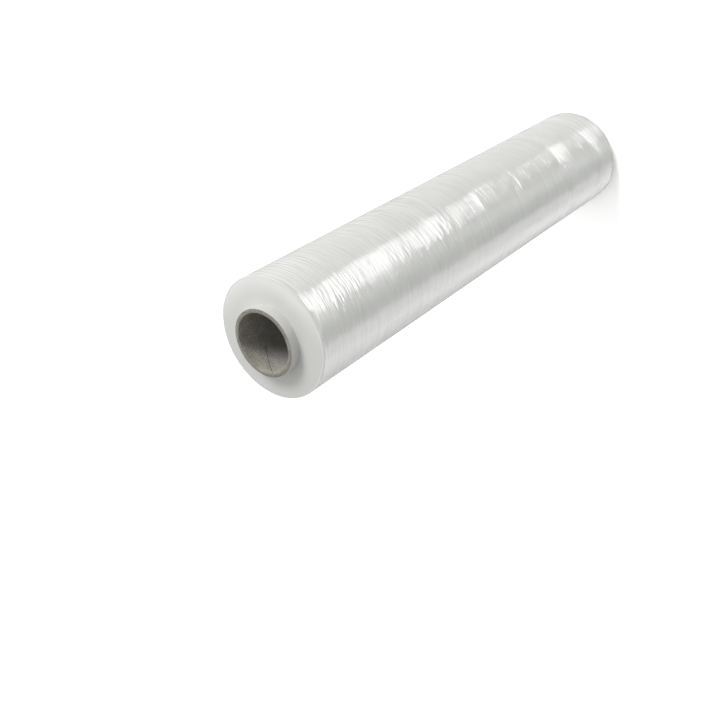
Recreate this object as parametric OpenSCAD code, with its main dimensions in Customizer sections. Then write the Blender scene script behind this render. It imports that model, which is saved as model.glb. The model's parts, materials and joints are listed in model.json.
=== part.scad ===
// Stretch wrap roll: clear film wound on a board core, standing on one end.
// Millimetres, +Z along the core, origin at the middle of the core's lower end.

/* [Core] */
// Bore of the core, which takes the dispenser's mandrel
core_bore_d = 50; // [30:0.1:78]
// Wall of the core
core_wall = 3.5; // [2:0.1:6]
// How far the core stands out of the film at each end
core_stand_out = 9; // [3:0.5:40]
// Bevel round each mouth of the bore
bore_bevel = 0.2; // [0.1:0.1:0.8]
// Soft round on the core's outer edges
core_edge_round = 0.7; // [0.2:0.1:1]

/* [Film] */
// Width of the film, which is the length of the wound body
film_w = 500; // [100:5:600]
// Diameter over the film's outer turn
film_d = 102; // [100:1:260]
// Soft round where the film's ends turn into its side
film_edge_round = 2.2; // [1:0.1:4]
// How far the outer turns lie behind the inner ones at each end
film_end_fall = 0.8; // [0:0.1:2]

/* [Turns] */
// Spacing of the rings that the turns' edges make on each end
ring_pitch = 1.6; // [1.2:0.1:4]
// Height of the highest ring
ring_h = 0.2; // [0.05:0.01:0.4]
// Spacing of the ridges that run round the side
ridge_pitch = 4.5; // [3:0.5:12]
// Height of the highest ridge in the middle of the side
ridge_h = 0.24; // [0.05:0.01:0.4]
// How much higher the ridges are next to the ends, as a share
ridge_end_gain = 0.6; // [0:0.1:1]
// Length over which that extra height fades from each end
ridge_end_fade = 28; // [10:1:60]

/* [Hidden] */
$fn = 180;
core_r = core_bore_d / 2 + core_wall;
core_len = film_w + 2 * core_stand_out;
film_r = film_d / 2;
film_low = core_stand_out;
film_high = core_stand_out + film_w;
// Radius at which the flat of an end gives way to its round
end_flat_r = film_r - film_edge_round;
// Depth of an end from its innermost turn to the foot of its round
end_depth = film_end_fall + ring_h + film_edge_round;
// Steps in a quarter round
round_steps = 8;
// The golden angle gives each ring and ridge a height of its own
spread = 137.508;
// Smallest share of the full height that a ring or ridge has
least_share = 0.2;
// Share of the spacing by which a crest or a valley leaves its even place
wander = 0.14;

// The share of the full height that crest or valley number i has
function share(i, start) = least_share + (1 - least_share) * abs(sin(i * spread + start));

// How far crest or valley number i leaves its even place, in spacings
function drift(i, start) = wander * sin(i * 2.3 * spread + start);

// How far an end's face lies behind its innermost turn at radius r
function fall(r) = film_end_fall * pow((r - core_r) / (end_flat_r - core_r), 2);

// Height factor of a ridge at a distance z from the lower edge of a side of length len
function gain(z, len) =
    1 + ridge_end_gain * (exp(-z / ridge_end_fade) + exp(-(len - z) / ridge_end_fade));

// Half of a film end, from the core out to its side, as [radius, depth]:
// a valley and a crest for each ring, and then the quarter round
function end_profile(start) =
    let (count = max(2, floor((end_flat_r - core_r) / ring_pitch)),
         pitch = (end_flat_r - core_r) / count)
    concat(
        [[core_r, ring_h]],
        [for (i = [0 : count - 1])
            let (crest_r = core_r + pitch * (i + 0.5 + drift(i, start)),
                 valley_r = core_r + pitch * (i + 1))
            each [[crest_r, fall(crest_r) + ring_h * (1 - share(i, start))],
                  [valley_r, fall(valley_r) + ring_h]]],
        [for (k = [1 : round_steps])
            let (a = 90 * k / round_steps)
            [end_flat_r + film_edge_round * sin(a), end_depth - film_edge_round * cos(a)]]);

// The film's side between two heights, as [radius, height]: a valley and a crest
// for each ridge, and no crest passes the film's diameter
function side_profile(low, high) =
    let (len = high - low,
         count = max(4, floor(len / ridge_pitch)),
         pitch = len / count)
    [for (i = [0 : count - 1])
        let (valley = pitch * (i + 0.25 + drift(i, 10)),
             crest = pitch * (i + 0.75 + drift(i, 70)),
             valley_depth = ridge_h * gain(valley, len) * (0.5 + 0.5 * share(i, 25)),
             crest_depth = ridge_h * 0.5 * (1 - share(i, 55)))
        each [[film_r - valley_depth, low + valley], [film_r - crest_depth, low + crest]]];

// The same points from last to first
function reversed(points) = [for (k = [len(points) - 1 : -1 : 0]) points[k]];

// Quarter round on the core's outer edge, as [radius, depth]
core_round = [for (k = [0 : round_steps])
    let (a = 90 * k / round_steps)
    [core_r - core_edge_round * (1 - sin(a)), core_edge_round * (1 - cos(a))]];

// The board tube, with a bevel round each mouth and a soft round on each outer edge
module core_tube() {
    color("#b9b2a2")
    rotate_extrude()
    polygon(concat(
        [[core_bore_d / 2 + bore_bevel, 0]],
        core_round,
        [for (p = reversed(core_round)) [p[0], core_len - p[1]]],
        [[core_bore_d / 2 + bore_bevel, core_len],
         [core_bore_d / 2, core_len - bore_bevel],
         [core_bore_d / 2, bore_bevel]]));
}

// All the turns as one body, with ringed ends, rounded edges and a ridged side
module film_roll() {
    color("#e4e8e6", 0.9)
    rotate_extrude()
    polygon(concat(
        [for (p = end_profile(0)) [p[0], film_low + p[1]]],
        side_profile(film_low + end_depth, film_high - end_depth),
        [for (p = reversed(end_profile(200))) [p[0], film_high - p[1]]]));
}

core_tube();
film_roll();
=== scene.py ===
# %% [markdown]
# A roll of stretch wrap is two pieces: a tube of recycled board, and clear film wound on it
# so tightly that hundreds of turns look like one milky body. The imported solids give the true
# sizes, so every main size below is read from them and nothing is typed twice.

# %% Load the solids
import json
import math
from types import SimpleNamespace

import bmesh
import bpy
from mathutils import Matrix, Vector


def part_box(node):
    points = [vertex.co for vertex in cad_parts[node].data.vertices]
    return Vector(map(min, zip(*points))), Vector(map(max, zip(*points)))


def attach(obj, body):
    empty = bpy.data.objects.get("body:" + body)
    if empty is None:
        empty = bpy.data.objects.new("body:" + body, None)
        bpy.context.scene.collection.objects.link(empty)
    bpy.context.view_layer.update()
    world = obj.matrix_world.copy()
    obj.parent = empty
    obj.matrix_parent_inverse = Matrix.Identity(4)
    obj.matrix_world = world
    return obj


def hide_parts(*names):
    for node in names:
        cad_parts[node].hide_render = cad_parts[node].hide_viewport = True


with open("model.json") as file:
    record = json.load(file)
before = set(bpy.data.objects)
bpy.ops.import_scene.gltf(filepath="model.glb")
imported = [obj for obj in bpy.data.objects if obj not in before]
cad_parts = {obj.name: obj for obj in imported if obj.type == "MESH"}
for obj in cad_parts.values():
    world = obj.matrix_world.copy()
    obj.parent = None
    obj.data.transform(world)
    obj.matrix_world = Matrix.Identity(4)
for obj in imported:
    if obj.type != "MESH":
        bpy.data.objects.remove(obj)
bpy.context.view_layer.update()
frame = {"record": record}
MM = 0.001
core_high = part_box("core_tube")[1]
film_low, film_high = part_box("film_roll")
core_r = core_high[0]
core_len = core_high[2]
film_r = film_high[0]
bore_r = frame["record"]["mounts"][0]["dims"]["r_mm"] * MM
print("core radius", core_r, "film radius", film_r, "core length", core_len, "bore", bore_r)

# %% [markdown]
# The photograph looks down on the near end of the roll, with the roll running away to the
# upper right. Here the roll stands on its far end, so the camera looks down at its top end
# and is turned about its own axis until the roll lies in the picture as it does there.
# The place and the turn were found by laying the roll's outline over the photograph.

# %% Camera
CAMERA_PLACE = Vector((0.46486, 0.34494, 0.98783))
VIEW = Vector((-0.54368, -0.48418, -0.68556)).normalized()
PICTURE_UP = Vector((0.0, 1.0, 0.0))
CAMERA_TILT = math.radians(-3.19)
LENS_MM = 49.41

camera_data = bpy.data.cameras.new("photo_camera")
camera_data.lens = LENS_MM
camera_data.sensor_width = 36.0
camera_data.clip_start = 0.01
camera = bpy.data.objects.new("photo_camera", camera_data)
bpy.context.scene.collection.objects.link(camera)
bpy.context.scene.camera = camera
side = VIEW.cross(PICTURE_UP).normalized()
up = side.cross(VIEW)
turn = Matrix.Rotation(CAMERA_TILT, 3, -VIEW)
side = turn @ side
up = turn @ up
facing = Matrix((side, up, -VIEW)).transposed().to_4x4()
camera.matrix_world = Matrix.Translation(CAMERA_PLACE) @ facing
print("camera right", [round(v, 4) for v in side], "up", [round(v, 4) for v in up])

# %% [markdown]
# The room, the finishes and the turned forms are all node trees, and a few helpers keep
# them short. add_node adds a node and sets or links its inputs, and the others are the sums
# and mixes that come again and again. soft_step is a smooth ramp from 0 to 1, which falls
# instead where its second value is the lower one.

# %% Node helpers
def add_node(tree, kind, inputs=None, **settings):
    """A new node. An input that is a socket is linked, and any other is set."""
    node = tree.nodes.new(kind)
    for name, value in settings.items():
        setattr(node, name, value)
    for key, value in (inputs or {}).items():
        if isinstance(value, bpy.types.NodeSocket):
            tree.links.new(value, node.inputs[key])
        else:
            node.inputs[key].default_value = value
    return node


def math_node(tree, operation, a, b=0.0, c=0.0):
    return add_node(tree, "ShaderNodeMath", {0: a, 1: b, 2: c}, operation=operation).outputs[0]


def soft_step(tree, value, low, high):
    """A smooth ramp that is 0 at low and 1 at high, whichever of them is larger."""
    node = add_node(
        tree, "ShaderNodeMapRange", {"Value": value, "From Min": low, "From Max": high},
        interpolation_type="SMOOTHSTEP",
    )
    return node.outputs["Result"]


def product(tree, first, *others):
    """All the values multiplied."""
    for other in others:
        first = math_node(tree, "MULTIPLY", first, other)
    return first


def between(tree, share, low, high):
    """The value that lies a share of the way from low to high."""
    return math_node(tree, "MULTIPLY_ADD", share, high - low, low)


def blend(tree, share, a, b, **settings):
    """The colour that lies a share of the way from a to b, or their product."""
    inputs = {"Factor": share, "A": a, "B": b}
    return add_node(tree, "ShaderNodeMix", inputs, data_type="RGBA", **settings).outputs["Result"]


# %% [markdown]
# Glossy film shows the room in bands that run along the roll: a bright window, a dark wall
# under it and a pale table. A few lamps would give round spots, so the world itself is that
# room. Every direction gets two angles, one round the roll's axis and one above the floor,
# and each surface of the room covers a range of both.

# %% Directions in the room
world = bpy.data.worlds.new("room")
bpy.context.scene.world = world
world.use_nodes = True
room = world.node_tree
room.nodes.clear()
direction = add_node(room, "ShaderNodeTexCoord").outputs["Generated"]
parts = add_node(room, "ShaderNodeSeparateXYZ", {0: direction}).outputs
round_roll = math_node(room, "DEGREES", math_node(room, "ARCTAN2", parts["Y"], parts["X"]))
height = math_node(room, "DEGREES", math_node(room, "ARCSINE", parts["Z"]))
print("the room has", len(room.nodes), "nodes for its two angles")

# %% [markdown]
# A surface is two soft ranges multiplied: from start to end round the roll, and from low to
# high above the floor, in degrees. Its edges are soft by their own amounts. Lean lets the
# whole surface shift round the roll as it goes up, as a window beside the roll seems to do.

# %% One surface of the room
LEAN_FROM = -50.0


def surface(start, end, edges, low, high, fade, light, lean=0.0):
    """Light from one flat surface of the room."""
    middle = (start + end) / 2
    half = (end - start) / 2
    leaning = product(room, math_node(room, "SUBTRACT", height, LEAN_FROM), lean)
    turned = math_node(room, "SUBTRACT", round_roll, math_node(room, "ADD", leaning, middle))
    off = math_node(room, "WRAP", turned, 180.0, -180.0)
    after = soft_step(room, off, -half - edges[0], -half + edges[0])
    before = soft_step(room, off, half + edges[1], half - edges[1])
    above = soft_step(room, height, low - fade, low + fade)
    below = soft_step(room, height, high + fade, high - fade)
    return product(room, after, before, above, below, light)


# %% [markdown]
# The roll stands here, but in the photograph it lies. What is under it there is at minus 90
# degrees round the roll, and what hangs over it at plus 90. The camera looks down along the
# roll, so the film's side mirrors directions below the floor, and most of the bands are
# there. The names say what each surface would be in a real room. Each light was set by
# comparing the band that it makes on the film with the band in the photograph.

# %% Surfaces of the room
room_light = {
    "lamp over the roll": surface(96, 118, (3, 3), 22, 44, fade=2, light=14.5),
    "pale wall behind": surface(125, 265, (30, 30), 4, 70, fade=10, light=0.34),
    "ceiling": surface(-180, 180, (0.1, 0.1), 55, 95, fade=4, light=0.57),
    "window": surface(43.5, 84, (1.0, 1.0), -49.2, -12, fade=1.5, light=6.5, lean=-1.0),
    "end of the window": surface(42, 76, (1.5, 1.5), -90, -60, fade=1.0, light=1.0, lean=-0.7),
    "wall over the window": surface(80, 150, (3, 25), -37, -12, fade=1.0, light=1.8),
    "blind": surface(80, 110, (3, 6), -46, -12, fade=2.0, light=0.3, lean=-0.7),
    "wall under the window": surface(-22, 42, (2, 1), -90, 0, fade=4, light=0.3),
    "rail on that wall": surface(1, 24, (9, 8), -90, 0, fade=4, light=0.6),
    "table": surface(-91, -26.5, (17, 0.5), -90, 0, fade=4, light=0.73, lean=0.25),
    "table under the roll": surface(-91, -58, (17, 10), -90, 0, fade=4, light=0.28, lean=0.25),
    "table beside the roll": surface(-68, -26.5, (10, 0.5), -52, 0, fade=8, light=0.82, lean=0.25),
    "pale wall by the lamp": surface(30, 85, (10, 10), 2, 26, fade=3, light=0.5),
    "low wall in front": surface(-80, 20, (20, 20), 2, 14, fade=3, light=0.38),
}
print("room surfaces", len(room_light), "from", ", ".join(room_light))

# %% [markdown]
# Between these surfaces there is a dim room, and below the floor a brighter one. The dark
# wall is a little green in the photograph, so its light is tinted. Only the film and the
# board see the room: a camera ray that misses the roll meets plain white.

# %% Light of the whole room
SKY_LIGHT = 0.12
LOW_LIGHT = 0.8
total = between(room, soft_step(room, height, -30.0, -14.0), LOW_LIGHT, SKY_LIGHT)
for light in room_light.values():
    total = math_node(room, "ADD", light, total)

WHITE = (1, 1, 1, 1)
WALL_TINT = (0.95, 1.0, 0.96, 1)
dark_wall = surface(-24, 20, (2, 15), -90, 0, fade=4, light=1.0)
tint = blend(room, dark_wall, WHITE, WALL_TINT)
lit = add_node(room, "ShaderNodeBackground", {"Color": tint, "Strength": total})
shown = add_node(room, "ShaderNodeBackground", {"Color": WHITE, "Strength": 1.0})
path = add_node(room, "ShaderNodeLightPath")
pick = add_node(
    room, "ShaderNodeMixShader",
    {0: path.outputs["Is Camera Ray"], 1: lit.outputs[0], 2: shown.outputs[0]},
)
add_node(room, "ShaderNodeOutputWorld", {"Surface": pick.outputs[0]})
bpy.context.scene.view_settings.view_transform = "Standard"
print("light of the dim room", SKY_LIGHT, "and below the floor", LOW_LIGHT)

# %% [markdown]
# The floor is plain white paper, one big disc. Its colour for the camera is lifted, so that
# the paper shows white and the roll's shadow stays on it. The film's gloss looks past the
# paper to the room, as the gloss of a roll that lies on a table does.

# %% Floor
FLOOR_RADIUS = 8.0
PAPER = (0.9, 0.9, 0.9, 1)
PAPER_SHOWN = (2.4, 2.4, 2.4, 1)


def new_material(name):
    """A material without nodes, and its tree."""
    material = bpy.data.materials.new(name)
    material.use_nodes = True
    material.node_tree.nodes.clear()
    return material, material.node_tree


paper, tree = new_material("white_paper")
path = add_node(tree, "ShaderNodeLightPath")
tone = blend(tree, path.outputs["Is Camera Ray"], PAPER, PAPER_SHOWN)
matt = add_node(tree, "ShaderNodeBsdfDiffuse", {"Color": tone})
add_node(tree, "ShaderNodeOutputMaterial", {"Surface": matt.outputs[0]})

floor_mesh = bpy.data.meshes.new("floor")
build = bmesh.new()
bmesh.ops.create_circle(build, cap_ends=True, radius=FLOOR_RADIUS, segments=64)
build.to_mesh(floor_mesh)
build.free()
floor_mesh.materials.append(paper)
floor = bpy.data.objects.new("floor", floor_mesh)
bpy.context.scene.collection.objects.link(floor)
floor.visible_glossy = False
print("floor of radius", FLOOR_RADIUS, "m")

# %% [markdown]
# Both pieces are turned forms. Each starts as a profile, a chain of points from the axis
# outwards, and one Geometry Nodes tree turns that chain round the axis. Blender's own screw
# would do it too, but the tree also lets the radius wander a little on the way round, because
# wound film is never truly round.

# %% Inputs of the turning tree
TURN_INPUTS = {
    "Profile": "NodeSocketObject",
    "Points": "NodeSocketInt",
    "Steps Round": "NodeSocketInt",
    "Wander": "NodeSocketFloat",
    "Wander Round": "NodeSocketFloat",
    "Wander Along": "NodeSocketFloat",
    "Calm Radius": "NodeSocketFloat",
    "Seed": "NodeSocketFloat",
    "Material": "NodeSocketMaterial",
}
turned_form = bpy.data.node_groups.new("turned_form", "GeometryNodeTree")
for name, kind in TURN_INPUTS.items():
    turned_form.interface.new_socket(name, in_out="INPUT", socket_type=kind)
turned_form.interface.new_socket("Geometry", in_out="OUTPUT", socket_type="NodeSocketGeometry")
given = add_node(turned_form, "NodeGroupInput").outputs
print("the turning tree takes", ", ".join(TURN_INPUTS))

# %% [markdown]
# The tree begins with a flat grid of one metre. A point's place across the grid becomes its
# angle round the axis, and its place up the grid becomes the number of a profile point.

# %% From a flat grid to angles and profile points
columns = math_node(turned_form, "ADD", given["Steps Round"], 1.0)
grid = add_node(
    turned_form, "GeometryNodeMeshGrid",
    {"Size X": 1.0, "Size Y": 1.0, "Vertices X": columns, "Vertices Y": given["Points"]},
)
on_grid = add_node(turned_form, "GeometryNodeInputPosition").outputs[0]
on_grid = add_node(turned_form, "ShaderNodeSeparateXYZ", {0: on_grid}).outputs
share_round = math_node(turned_form, "ADD", on_grid["X"], 0.5)
share_up = math_node(turned_form, "ADD", on_grid["Y"], 0.5)
angle = math_node(turned_form, "MULTIPLY", share_round, math.tau)
last = math_node(turned_form, "SUBTRACT", given["Points"], 1.0)
number = math_node(turned_form, "ROUND", math_node(turned_form, "MULTIPLY", share_up, last))
chain = add_node(turned_form, "GeometryNodeObjectInfo", {"Object": given["Profile"]})
sample = add_node(
    turned_form, "GeometryNodeSampleIndex",
    {
        "Geometry": chain.outputs["Geometry"],
        "Value": add_node(turned_form, "GeometryNodeInputPosition").outputs[0],
        "Index": number,
    },
    data_type="FLOAT_VECTOR",
)
profile_point = add_node(turned_form, "ShaderNodeSeparateXYZ", {0: sample.outputs[0]}).outputs
print("nodes for the grid", len(turned_form.nodes))

# %% [markdown]
# Noise moves the radius in and out. It is looked up on a circle, so it closes where the turn
# ends, and it changes slowly round the roll and quickly along it, as the winding does. Points
# nearer the axis than the calm radius stay true.

# %% Wander of the radius
CALM_EDGE = 0.5 * MM


def turn_noise(tree, across, along, z):
    """Noise on a circle, which runs on without a seam."""
    spot = add_node(
        tree, "ShaderNodeCombineXYZ",
        {
            "X": math_node(tree, "MULTIPLY", across, given["Wander Round"]),
            "Y": math_node(tree, "MULTIPLY", along, given["Wander Round"]),
            "Z": math_node(tree, "MULTIPLY", z, given["Wander Along"]),
        },
    )
    noise = add_node(
        tree, "ShaderNodeTexNoise",
        {"Vector": spot.outputs[0], "W": given["Seed"], "Scale": 1.0, "Detail": 2.0},
        noise_dimensions="4D",
    )
    return math_node(tree, "SUBTRACT", noise.outputs[0], 0.5)


across = math_node(turned_form, "COSINE", angle)
along = math_node(turned_form, "SINE", angle)
swing = turn_noise(turned_form, across, along, profile_point["Z"])
loose = add_node(
    turned_form, "ShaderNodeMapRange",
    {
        "Value": profile_point["X"],
        "From Min": given["Calm Radius"],
        "From Max": math_node(turned_form, "ADD", given["Calm Radius"], CALM_EDGE),
    },
).outputs["Result"]
reach = math_node(turned_form, "MULTIPLY", given["Wander"], loose)
radius = math_node(turned_form, "MULTIPLY_ADD", swing, reach, profile_point["X"])
print("nodes with the wander", len(turned_form.nodes))

# %% [markdown]
# Each grid point goes to its radius, angle and height. The first and the last column then
# lie on each other, so merging by distance closes the turn into one watertight body.

# %% Turn, close and finish the form
MERGE_WITHIN = 0.002 * MM
turned = add_node(
    turned_form, "ShaderNodeCombineXYZ",
    {
        "X": math_node(turned_form, "MULTIPLY", across, radius),
        "Y": math_node(turned_form, "MULTIPLY", along, radius),
        "Z": profile_point["Z"],
    },
)
body = add_node(
    turned_form, "GeometryNodeSetPosition",
    {"Geometry": grid.outputs["Mesh"], "Position": turned.outputs[0]},
)
for kind, inputs in (
    ("GeometryNodeMergeByDistance", {"Distance": MERGE_WITHIN}),
    ("GeometryNodeSetShadeSmooth", {}),
    ("GeometryNodeRealizeInstances", {}),
    ("GeometryNodeSetMaterial", {"Material": given["Material"]}),
):
    body = add_node(turned_form, kind, {"Geometry": body.outputs[0], **inputs})
add_node(turned_form, "NodeGroupOutput", {"Geometry": body.outputs[0]})
print("nodes in the turning tree", len(turned_form.nodes))

# %% [markdown]
# A profile is a mesh of edges in the plane of the axis. The tree is put on an empty carrier
# object, its result is kept as a plain mesh, and the two makers are removed. The count of
# open edges shows whether the turn has closed.

# %% Make a piece from a profile
def profile_object(name, points):
    """An object of edges that join the points, (radius, height), in a chain."""
    mesh = bpy.data.meshes.new(name)
    edges = [(k, k + 1) for k in range(len(points) - 1)]
    mesh.from_pydata([(r, 0.0, z) for r, z in points], edges, [])
    return bpy.data.objects.new(name, mesh)


def evaluated_mesh(name, values):
    """The mesh that the turning tree makes from its named inputs."""
    carrier_mesh = bpy.data.meshes.new(name + "_carrier")
    carrier = bpy.data.objects.new(name + "_carrier", carrier_mesh)
    bpy.context.scene.collection.objects.link(carrier)
    modifier = carrier.modifiers.new("turned_form", "NODES")
    modifier.node_group = turned_form
    for item in turned_form.interface.items_tree:
        if item.in_out == "INPUT":
            modifier[item.identifier] = values[item.name]
    graph = bpy.context.evaluated_depsgraph_get()
    mesh = bpy.data.meshes.new_from_object(carrier.evaluated_get(graph))
    mesh.name = name
    bpy.data.objects.remove(carrier)
    return mesh


def turn_profile(name, points, material, sizes):
    """A plain mesh object: the profile turned round the axis, with its faces outwards."""
    profile = profile_object(name + "_profile", points)
    bpy.context.scene.collection.objects.link(profile)
    values = {"Profile": profile, "Points": len(points), "Material": material, **sizes}
    mesh = evaluated_mesh(name, values)
    bpy.data.objects.remove(profile)
    piece = bpy.data.objects.new(name, mesh)
    bpy.context.scene.collection.objects.link(piece)
    check = bmesh.new()
    check.from_mesh(mesh)
    if check.calc_volume(signed=True) < 0:
        bmesh.ops.reverse_faces(check, faces=check.faces)
        check.to_mesh(mesh)
    open_edges = sum(1 for e in check.edges if len(e.link_faces) != 2)
    print(name, "faces", len(mesh.polygons), "open edges", open_edges,
          "litres", round(check.calc_volume() * 1000, 4))
    check.free()
    return piece


# %% [markdown]
# Where a thing lies on the roll decides how it looks: how far it is from the axis, and how
# far from the nearer end. Both finishes take their places from object coordinates, which are
# metres here, so nothing stretches and the streaks and fibres keep their true size.

# %% Places on the roll
def roll_places(tree, low, high):
    """Object coordinates, the radius and the depth below the nearer of two ends."""
    spot = add_node(tree, "ShaderNodeTexCoord").outputs["Object"]
    part = add_node(tree, "ShaderNodeSeparateXYZ", {0: spot}).outputs
    square = math_node(tree, "MULTIPLY", part["Y"], part["Y"])
    square = math_node(tree, "MULTIPLY_ADD", part["X"], part["X"], square)
    off_middle = math_node(tree, "SUBTRACT", part["Z"], (low + high) / 2)
    off_middle = math_node(tree, "ABSOLUTE", off_middle)
    return SimpleNamespace(
        spot=spot, x=part["X"], y=part["Y"], z=part["Z"],
        radius=math_node(tree, "SQRT", square),
        from_end=math_node(tree, "SUBTRACT", (high - low) / 2, off_middle),
    )


film_material, film_tree = new_material("wound_film")
at = roll_places(film_tree, film_low[2], film_high[2])
print("the film's material knows", ", ".join(vars(at)))

# %% [markdown]
# Masks tell the film's finish where it is. The ends are hundreds of cut edges and matt, so
# gloss and folds belong to the side. Height plus radius is the measure across the winding,
# because it runs on over the rounded edge and turns the same streaks into rings on the ends.
# The film is wound looser in the half near the camera, and the light comes from above, +Y.

# %% Masks on the film
SIDE_STARTS = (1.5 * MM, 3.2 * MM)
LOOSE_HALF = (215 * MM, 345 * MM)
UPPER_PART = (8 * MM, 34 * MM)
LIT_PART = (0.0, 0.8 * film_r)
at.across = math_node(film_tree, "ADD", at.z, at.radius)
at.on_side = soft_step(film_tree, at.from_end, *SIDE_STARTS)
at.loose = soft_step(film_tree, at.z, *LOOSE_HALF)
at.upper = soft_step(film_tree, at.y, *UPPER_PART)
at.lit = soft_step(film_tree, at.y, *LIT_PART)
print("nodes for the places and masks", len(film_tree.nodes))

# %% [markdown]
# The film is pulled hard while it is wound, so it gathers in folds and threads that run
# round the roll. Noise that is stretched round the roll and squeezed across it looks like
# them. Real folds don't lie quite square to the axis, so each layer leans its own way.

# %% One layer of streaks
def streaks(round_scale, across_scale, lean, toward, detail, seed):
    """Noise that is long round the roll; lean tilts it, most a quarter turn from toward."""
    toward = math.radians(toward)
    tilt = math_node(film_tree, "MULTIPLY", at.x, lean * math.cos(toward))
    tilt = math_node(film_tree, "MULTIPLY_ADD", at.y, lean * math.sin(toward), tilt)
    leaning = math_node(film_tree, "ADD", at.across, tilt)
    spot = add_node(
        film_tree, "ShaderNodeCombineXYZ",
        {
            "X": math_node(film_tree, "MULTIPLY", at.x, round_scale),
            "Y": math_node(film_tree, "MULTIPLY", at.y, round_scale),
            "Z": math_node(film_tree, "MULTIPLY", leaning, across_scale),
        },
    )
    noise = add_node(
        film_tree, "ShaderNodeTexNoise",
        {"Vector": spot.outputs[0], "W": seed, "Scale": 1.0, "Detail": detail},
        noise_dimensions="4D",
    )
    return noise.outputs[0]


# %% [markdown]
# One layer would repeat itself, so there are six. Broad folds are a few millimetres wide and
# narrower ones cross them. Fine lines lie all over, and longer threads follow the stretched
# edge of the film. Patches say where folds bunch together, and rolled is kept for threads
# that are turned about their own length.

# %% Layers of streaks
broad = streaks(20, 160, lean=0.22, toward=120, detail=1.5, seed=5.0)
crossing = streaks(34, 300, lean=0.1, toward=-40, detail=2.0, seed=1.0)
fine = streaks(45, 820, lean=0.15, toward=100, detail=1.0, seed=9.0)
threads = streaks(9, 520, lean=0.04, toward=60, detail=1.0, seed=2.0)
patches = streaks(12, 26, lean=0.3, toward=120, detail=1.0, seed=4.0)
rolled = streaks(14, 600, lean=0.1, toward=20, detail=1.5, seed=12.0)
print("nodes with the streaks", len(film_tree.nodes))

# %% [markdown]
# The folds aren't equally high all over. They are highest in the middle of the looser half,
# bunch in patches, and are calm on the under side and flat on the ends. Threads show within
# 90 mm of an end. Heights are in millimetres, because the bump's distance is one.

# %% Relief of the winding
BROAD_HEIGHT = 0.75
CROSSING_HEIGHT = 0.65
THREAD_HEIGHT = 0.65
FINE_TIGHT = 0.14
FINE_LOOSE = 0.36
TIGHT_FOLDS = 0.36
SPARSE_FOLDS = 0.55
BUNCHED_FOLDS = 1.35
UNDER_SIDE_FOLDS = 0.25
END_RELIEF = 0.04
folds = math_node(film_tree, "MULTIPLY", broad, BROAD_HEIGHT)
folds = math_node(film_tree, "MULTIPLY_ADD", crossing, CROSSING_HEIGHT, folds)
inland = soft_step(film_tree, at.from_end, 50 * MM, 170 * MM)
slack = between(film_tree, product(film_tree, inland, at.loose), TIGHT_FOLDS, 1.0)
bunched = soft_step(film_tree, patches, 0.42, 0.6)
bunched = between(film_tree, bunched, SPARSE_FOLDS, BUNCHED_FOLDS)
turned_up = between(film_tree, at.upper, UNDER_SIDE_FOLDS, 1.0)
relief = product(film_tree, folds, slack, bunched, turned_up)
by_end = soft_step(film_tree, at.from_end, 90 * MM, 5 * MM)
by_end = product(film_tree, by_end, at.upper, THREAD_HEIGHT)
relief = math_node(film_tree, "MULTIPLY_ADD", threads, by_end, relief)
hair = between(film_tree, at.loose, FINE_TIGHT, FINE_LOOSE)
relief = math_node(film_tree, "MULTIPLY_ADD", fine, hair, relief)
relief = product(film_tree, relief, between(film_tree, at.on_side, END_RELIEF, 1.0))
print("nodes with the relief", len(film_tree.nodes))

# %% [markdown]
# Near the far end the winding steps down twice towards the camera. A step tips the gloss, so
# it mirrors the window and shows as a bright patch. The step is in the bump only, because it
# is about a millimetre over a few centimetres, and extra folds cross it.

# %% Two steps in the winding
STEPS = ((102 * MM, 18 * MM, 1.22), (38 * MM, 13 * MM, 1.4))
STEP_CROSSING = 2.2
STEP_FINE = 0.9
for step_z, step_reach, step_drop in STEPS:
    tip = soft_step(film_tree, at.z, step_z - step_reach, step_z + step_reach)
    relief = math_node(film_tree, "MULTIPLY_ADD", tip, -step_drop, relief)
    rest = math_node(film_tree, "SUBTRACT", 1.0, tip)
    middle = product(film_tree, tip, rest, STEP_CROSSING)
    relief = math_node(film_tree, "MULTIPLY_ADD", crossing, middle, relief)
    middle = product(film_tree, middle, STEP_FINE)
    relief = math_node(film_tree, "MULTIPLY_ADD", fine, middle, relief)
print("steps at", [round(step[0] / MM) for step in STEPS], "mm from the far end of the core")

# %% [markdown]
# The relief tips the surface along the roll, as folds do. A thread is also rolled a little
# about its own length, which tips the surface round the roll and frays both borders of the
# bright band. Relief this long round the roll has almost no slope that way, so the tip is
# added to the bump's normal.

# %% Normal of the film
ROLLED_BY = 0.28
ROLLED_MIDDLE = 0.51
bump = add_node(film_tree, "ShaderNodeBump", {"Height": relief, "Strength": 1.0, "Distance": MM})
round_way = add_node(
    film_tree, "ShaderNodeCombineXYZ", {"X": product(film_tree, at.y, -1.0), "Y": at.x}
)
amount = math_node(film_tree, "SUBTRACT", rolled, ROLLED_MIDDLE)
amount = product(film_tree, amount, at.on_side, ROLLED_BY / film_r)
aside = add_node(
    film_tree, "ShaderNodeVectorMath", {0: round_way.outputs[0], "Scale": amount}, operation="SCALE"
)
normal = add_node(
    film_tree, "ShaderNodeVectorMath", {0: bump.outputs[0], 1: aside.outputs[0]}, operation="ADD"
)
normal = add_node(
    film_tree, "ShaderNodeVectorMath", {0: normal.outputs[0]}, operation="NORMALIZE"
)
print("nodes with the normal", len(film_tree.nodes))
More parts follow.
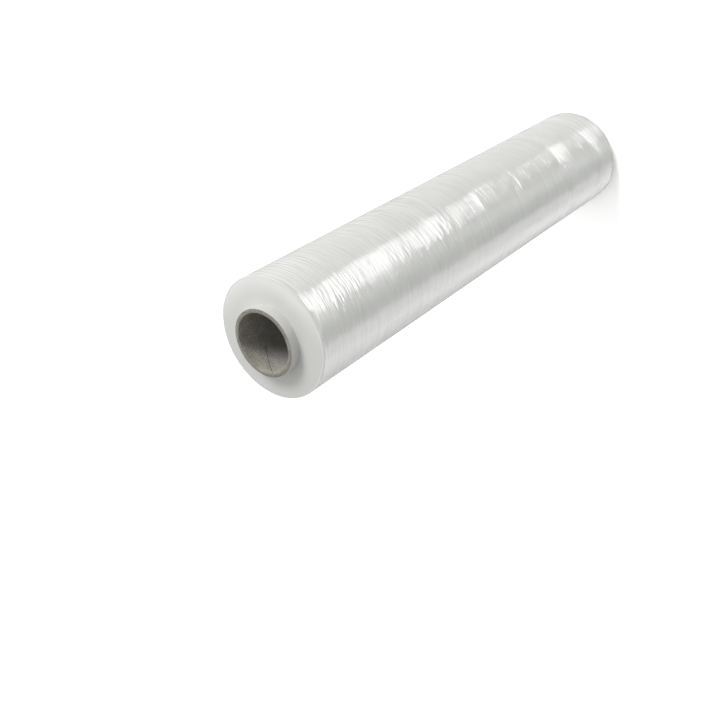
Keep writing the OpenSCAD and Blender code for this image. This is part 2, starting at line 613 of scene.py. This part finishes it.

# %% [markdown]
# Many clear turns on each other are a greenish white. Folds make faint clouds in it. On an
# end, the outer turns on the upper side get painted light from above, and the last two
# millimetres before the edge get painted shade above and painted light below, in place of
# the light that leaves the film there.

# %% Tone of the film
FILM_COLOUR = (0.784, 0.788, 0.76, 1)
END_CLOUDS = 0.04
SIDE_CLOUDS = 0.2
# Painted light below and painted shade above, at the edge of each end.
EDGE_PAINTED_LIGHT_BELOW = 0.24
EDGE_PAINTED_SHADE_ABOVE = -0.18
# Painted light on the outer turns of an end, on the upper side where light falls.
OUTER_TURNS_PAINTED_LIGHT = 0.2
clouds_and_painted_light = math_node(film_tree, "SUBTRACT", crossing, 0.5)
clouds_and_painted_light = product(film_tree, clouds_and_painted_light, between(film_tree, at.on_side, END_CLOUDS, SIDE_CLOUDS))
clouds_and_painted_light = math_node(film_tree, "ADD", clouds_and_painted_light, 1.0)
# Painted shade on the upper side and painted light on the lower side of each end's edge.
edge_painted_shade_and_light = product(
    film_tree,
    soft_step(film_tree, at.radius, film_r - 2.2 * MM, film_r - 0.4 * MM),
    soft_step(film_tree, at.from_end, 4.5 * MM, 2.0 * MM),
    between(film_tree, at.lit, EDGE_PAINTED_LIGHT_BELOW, EDGE_PAINTED_SHADE_ABOVE),
)
clouds_and_painted_light = math_node(film_tree, "ADD", clouds_and_painted_light, edge_painted_shade_and_light)
# Painted light: the outer turns of an end are lighter on the upper side, where light falls.
outer_turns_painted_light = product(
    film_tree,
    soft_step(film_tree, at.radius, film_r - 18 * MM, film_r - 3 * MM),
    soft_step(film_tree, at.from_end, 4.0 * MM, 1.5 * MM),
    at.lit,
)
clouds_and_painted_light = math_node(film_tree, "MULTIPLY_ADD", outer_turns_painted_light, OUTER_TURNS_PAINTED_LIGHT, clouds_and_painted_light)
film_tone = blend(film_tree, 1.0, FILM_COLOUR, clouds_and_painted_light, blend_type="MULTIPLY")
print("nodes with the tone", len(film_tree.nodes))

# %% [markdown]
# Light goes some way into the milky turns and comes back, which a subsurface share gives. It
# goes less deep next to the core, where the turns are pressed hardest on the board. The
# side is smooth and glossy, and its many layers mirror more than one sheet of film would,
# so the index of refraction is above that of polyethylene.

# %% Film material
MATT = 1.0
GLOSSY = 0.07
MANY_LAYERS_IOR = 1.9
DEPTH_BY_CORE = 0.2 * MM
DEPTH_FREE = 7.0 * MM
milky = soft_step(film_tree, at.radius, core_r, core_r + 6 * MM)
shader = add_node(
    film_tree, "ShaderNodeBsdfPrincipled",
    {
        "Base Color": film_tone,
        "Roughness": between(film_tree, at.on_side, MATT, GLOSSY),
        "IOR": MANY_LAYERS_IOR,
        "Normal": normal.outputs[0],
        "Subsurface Weight": 1.0,
        "Subsurface Radius": (1.0, 1.0, 0.95),
        "Subsurface Scale": between(film_tree, milky, DEPTH_BY_CORE, DEPTH_FREE),
    },
)
add_node(film_tree, "ShaderNodeOutputMaterial", {"Surface": shader.outputs[0]})
print("nodes in the film's material", len(film_tree.nodes))

# %% [markdown]
# The film's body is a profile of three parts: the fall of each end towards the outer turns,
# a small round at the edge, and the side with its low ridges. Heights and places of the
# ridges follow the same rule as in the solid, so the dressed roll agrees with it. A cosine
# wave joins valleys and crests, because straight slopes would mirror the room in flat facets.

# %% Ridges of the side
RIDGE_PITCH = 4.5 * MM
RIDGE_HEIGHT = 0.035 * MM
END_GAIN = 0.8
END_FADE = 14.0 * MM
GOLDEN_ANGLE = 137.508
DRIFT_STEP = 2.3 * GOLDEN_ANGLE
LEAST_SHARE = 0.2
UNEVEN = 0.14


def share_of(i, start):
    """The share of the full height that crest or valley number i has."""
    return LEAST_SHARE + (1 - LEAST_SHARE) * abs(math.sin(math.radians(i * GOLDEN_ANGLE + start)))


def drift_of(i, start):
    """How far crest or valley number i leaves its even place, in spacings."""
    return UNEVEN * math.sin(math.radians(i * DRIFT_STEP + start))


def ridge_height(at_z, length):
    """Height of a ridge, which grows towards both ends."""
    nearness = math.exp(-at_z / END_FADE) + math.exp((at_z - length) / END_FADE)
    return RIDGE_HEIGHT * (1 + END_GAIN * nearness)


def ridge_points(length):
    """Valleys and crests of the side, as (distance, depth)."""
    count = int(length / RIDGE_PITCH)
    pitch = length / count
    points = [(0.0, 0.0)]
    for i in range(count):
        valley = pitch * (i + 0.25 + drift_of(i, 10))
        crest = pitch * (i + 0.75 + drift_of(i, 70))
        points.append((valley, ridge_height(valley, length) * 0.5 * (1 + share_of(i, 25))))
        points.append((crest, ridge_height(crest, length) * 0.5 * (1 - share_of(i, 55))))
    points.append((length, 0.0))
    return points


print("ridges on half a metre of film", (len(ridge_points(0.5)) - 2) // 2)

# %% [markdown]
# The side needs rows that are close enough for a smooth wave between a valley and a crest,
# and few enough to keep the piece light. About five rows for each ridge are enough, because
# the fine folds are in the bump.

# %% Side of the film
SIDE_ROWS = 620


def side_points(low, high):
    """The side between two heights, as (radius, height), on a smooth wave."""
    length = high - low
    ridges = ridge_points(length)
    points = []
    k = 0
    for row in range(1, SIDE_ROWS):
        at_z = length * row / SIDE_ROWS
        while ridges[k + 1][0] < at_z:
            k += 1
        (before, first), (after, second) = ridges[k], ridges[k + 1]
        way = (1 - math.cos(math.pi * (at_z - before) / (after - before))) / 2
        points.append((film_r - first - (second - first) * way, low + at_z))
    return points


print("rows on the side", SIDE_ROWS - 1)

# %% [markdown]
# The turns by the core climb the board in a small fillet, and the outer ones fall back
# behind them. The face lies at the foot of the solid's rings, whose look is in the bump. The
# edge itself is almost sharp, because a wider round gives a grey line that the photograph
# doesn't have.

# %% Ends of the film
END_ROWS = 60
END_FALL = 0.8 * MM
SET_BACK = 0.2 * MM
EDGE_ROUND = 0.5 * MM
CLIMB = 0.5 * MM
CLIMB_REACH = 0.9 * MM
ROUND_STEPS = 8
end_flat_r = film_r - EDGE_ROUND


def quarter(middle_r, middle_z, wide, tall, start, steps):
    """Points of a quarter oval about a middle, from an angle in degrees."""
    points = []
    for k in range(steps + 1):
        a = math.radians(start + 90.0 * k / steps)
        points.append((middle_r + wide * math.cos(a), middle_z + tall * math.sin(a)))
    return points


def end_points():
    """One end from the core outwards, as (radius, depth)."""
    points = []
    for k in range(END_ROWS + 1):
        way = k / END_ROWS
        r = core_r + (end_flat_r - core_r) * way
        climb = CLIMB * math.exp((core_r - r) / CLIMB_REACH)
        points.append((r, END_FALL * way ** 2 + SET_BACK - climb))
    return points


def film_profile():
    """The film's closed profile, up its side from the lower end to the upper one."""
    low = film_low[2]
    high = film_high[2]
    depth = END_FALL + SET_BACK + EDGE_ROUND
    end = end_points()
    points = [(r, low + fall) for r, fall in end]
    points += quarter(end_flat_r, low + depth, EDGE_ROUND, EDGE_ROUND, -90, ROUND_STEPS)[1:]
    points += side_points(low + depth, high - depth)
    points += quarter(end_flat_r, high - depth, EDGE_ROUND, EDGE_ROUND, 0, ROUND_STEPS)
    points += [(r, high - fall) for r, fall in reversed(end[:-1])]
    points.append(points[0])
    return points


print("points in the film's profile", len(film_profile()))

# %% [markdown]
# The film's radius wanders by about a tenth of a millimetre, slowly round the roll. That is
# too little to see at the outline, but it bends the bright band, as it does on a real roll.

# %% Film piece
FILM_TURN = {
    "Steps Round": 128,
    "Wander": 0.32 * MM,
    "Wander Round": 1.6,
    "Wander Along": 220.0,
    "Calm Radius": film_r - 0.6 * MM,
    "Seed": 3.0,
}
film = turn_profile("film", film_profile(), film_material, FILM_TURN)
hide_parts("film_roll")
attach(film, "root")

# %% [markdown]
# The core is wound from strips of recycled board. Its cut ends and its bore show the plain
# grey-brown pulp with dark and pale fibres. Small noise makes the fibres, and larger noise
# the clouds of the pulp. Deep in the bore the fibres fade, as little light reaches them.

# %% Fibres of the board
DARK_PULP = (0.20, 0.188, 0.158, 1)
PALE_PULP = (0.46, 0.44, 0.388, 1)
FIBRES_FADE = (34 * MM, 16 * MM)
FIBRES_DEEP = 0.2
FIBRES_BY_MOUTH = 0.75
FIBRES_MIDDLE = 0.375
CLOUD_SHARE = 0.25
board_material, board_tree = new_material("recycled_board")
on_board = roll_places(board_tree, 0.0, core_len)
specks = add_node(
    board_tree, "ShaderNodeTexNoise",
    {"Vector": on_board.spot, "Scale": 900.0, "Detail": 3.0, "Roughness": 0.7},
).outputs[0]
fibre_share = soft_step(board_tree, on_board.from_end, *FIBRES_FADE)
fibre_share = between(board_tree, fibre_share, FIBRES_DEEP, FIBRES_BY_MOUTH)
specks = math_node(board_tree, "SUBTRACT", specks, 0.5)
specks = math_node(board_tree, "MULTIPLY_ADD", specks, fibre_share, FIBRES_MIDDLE)
clouds = add_node(
    board_tree, "ShaderNodeTexNoise", {"Vector": on_board.spot, "Scale": 120.0, "Detail": 2.0}
).outputs[0]
grey = math_node(board_tree, "MULTIPLY_ADD", clouds, CLOUD_SHARE, specks)
pulp = add_node(board_tree, "ShaderNodeValToRGB", {"Fac": grey})
dark_stop, pale_stop = pulp.color_ramp.elements
dark_stop.position = 0.36
dark_stop.color = DARK_PULP
pale_stop.position = 0.64
pale_stop.color = PALE_PULP
print("nodes for the fibres", len(board_tree.nodes))

# %% [markdown]
# The inmost ply is lighter than the cut plies. Deeper in the bore it gets painted shade: its
# colour turns darker and bluer there. The outer ply is a pale, finer paper. The radius tells
# the plies apart, so no face needs its own slot.

# %% Plies of the board
INNER_PLY_BY_MOUTH = (1.36, 1.38, 1.36, 1)
# Painted shade: deeper in the bore the inmost ply is darker and bluer.
INNER_PLY_PAINTED_SHADE = (1.2, 1.22, 1.34, 1)
OUTER_PLY = (0.75, 0.745, 0.725, 1)
in_bore = soft_step(board_tree, on_board.radius, bore_r + 0.4 * MM, bore_r + 0.1 * MM)
# Painted shade grows from 8 to 22 mm below the mouth of the bore.
bore_painted_shade = soft_step(board_tree, on_board.from_end, 8 * MM, 22 * MM)
inner_ply_and_painted_shade = blend(board_tree, bore_painted_shade, INNER_PLY_BY_MOUTH, INNER_PLY_PAINTED_SHADE)
ply_lift_and_painted_shade = blend(board_tree, in_bore, WHITE, inner_ply_and_painted_shade)
board_tone = blend(board_tree, 1.0, pulp.outputs[0], ply_lift_and_painted_shade, blend_type="MULTIPLY")
outside = soft_step(board_tree, on_board.radius, core_r - 0.6 * MM, core_r - 0.05 * MM)
board_tone = blend(board_tree, outside, board_tone, OUTER_PLY)
print("nodes with the plies", len(board_tree.nodes))

# %% [markdown]
# Where the strips of the inmost ply meet, they leave a fine dark spiral in the bore. It is
# the line where the height, less what the spiral has climbed at this angle, comes back to
# its start. The photograph shows it near the mouth only, so it fades with depth.

# %% Seam in the bore
SEAM_LEAD = 122.0 * MM
SEAM_START = 54.4 * MM
SEAM_WIDTH = 0.5 * MM
SEAM_DARK = (0.05, 0.045, 0.04, 1)
SEAM_SHARE = 0.75
round_core = math_node(board_tree, "ARCTAN2", on_board.y, on_board.x)
above = math_node(board_tree, "SUBTRACT", on_board.z, SEAM_START)
above = math_node(board_tree, "MULTIPLY_ADD", round_core, -SEAM_LEAD / math.tau, above)
off_seam = math_node(board_tree, "WRAP", above, SEAM_LEAD / 2, -SEAM_LEAD / 2)
off_seam = math_node(board_tree, "ABSOLUTE", off_seam)
seam = product(
    board_tree,
    soft_step(board_tree, off_seam, 0.9 * SEAM_WIDTH, 0.4 * SEAM_WIDTH),
    soft_step(board_tree, on_board.radius, bore_r + 0.3 * MM, bore_r + 0.1 * MM),
    soft_step(board_tree, on_board.from_end, 31 * MM, 20 * MM),
)
board_tone = blend(board_tree, product(board_tree, seam, SEAM_SHARE), board_tone, SEAM_DARK)
print("nodes with the seam", len(board_tree.nodes))

# %% [markdown]
# Board is matt and a little rough to the touch. The fibres stand up by a few hundredths of a
# millimetre and the seam is a small groove, so one bump from both is enough.

# %% Board material
SEAM_DEPTH = -3.0
relief = math_node(board_tree, "MULTIPLY_ADD", seam, SEAM_DEPTH, specks)
bump = add_node(
    board_tree, "ShaderNodeBump", {"Height": relief, "Strength": 0.4, "Distance": 0.1 * MM}
)
shader = add_node(
    board_tree, "ShaderNodeBsdfPrincipled",
    {"Base Color": board_tone, "Roughness": 0.85, "Normal": bump.outputs[0]},
)
add_node(board_tree, "ShaderNodeOutputMaterial", {"Surface": shader.outputs[0]})
print("nodes in the board's material", len(board_tree.nodes))

# %% [markdown]
# The core's profile goes round its wall: the cut end with a rounded, slightly crushed outer
# edge and a small round at the bore, the outside, the other end and the bore. It is turned
# without any wander, because a core is made true.

# %% Core tube
BORE_ROUND = 0.6 * MM
BORE_FALL = 0.3 * MM
OUTER_ROUND = 2.2 * MM
OUTER_FALL = 1.0 * MM
CORE_ROWS = 60
BORE_STEPS = 5


def core_profile():
    """The closed profile of the core's wall, up its outside and down its bore."""
    inner_r = bore_r + BORE_ROUND
    outer_r = core_r - OUTER_ROUND
    low = OUTER_FALL
    high = core_len - OUTER_FALL
    bore_high = core_len - BORE_FALL
    points = quarter(inner_r, BORE_FALL, BORE_ROUND, BORE_FALL, 180, BORE_STEPS)
    points += quarter(outer_r, low, OUTER_ROUND, OUTER_FALL, -90, ROUND_STEPS)
    for k in range(1, CORE_ROWS):
        points.append((core_r, low + (high - low) * k / CORE_ROWS))
    points += quarter(outer_r, high, OUTER_ROUND, OUTER_FALL, 0, ROUND_STEPS)
    points += quarter(inner_r, bore_high, BORE_ROUND, BORE_FALL, 90, BORE_STEPS)
    for k in range(1, CORE_ROWS):
        points.append((bore_r, bore_high - (bore_high - BORE_FALL) * k / CORE_ROWS))
    points.append(points[0])
    return points


CORE_TURN = {
    "Steps Round": 160,
    "Wander": 0.0,
    "Wander Round": 1.0,
    "Wander Along": 100.0,
    "Calm Radius": core_r,
    "Seed": 1.0,
}
core = turn_profile("core", core_profile(), board_material, CORE_TURN)
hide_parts("core_tube")
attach(core, "root")

# %% [markdown]
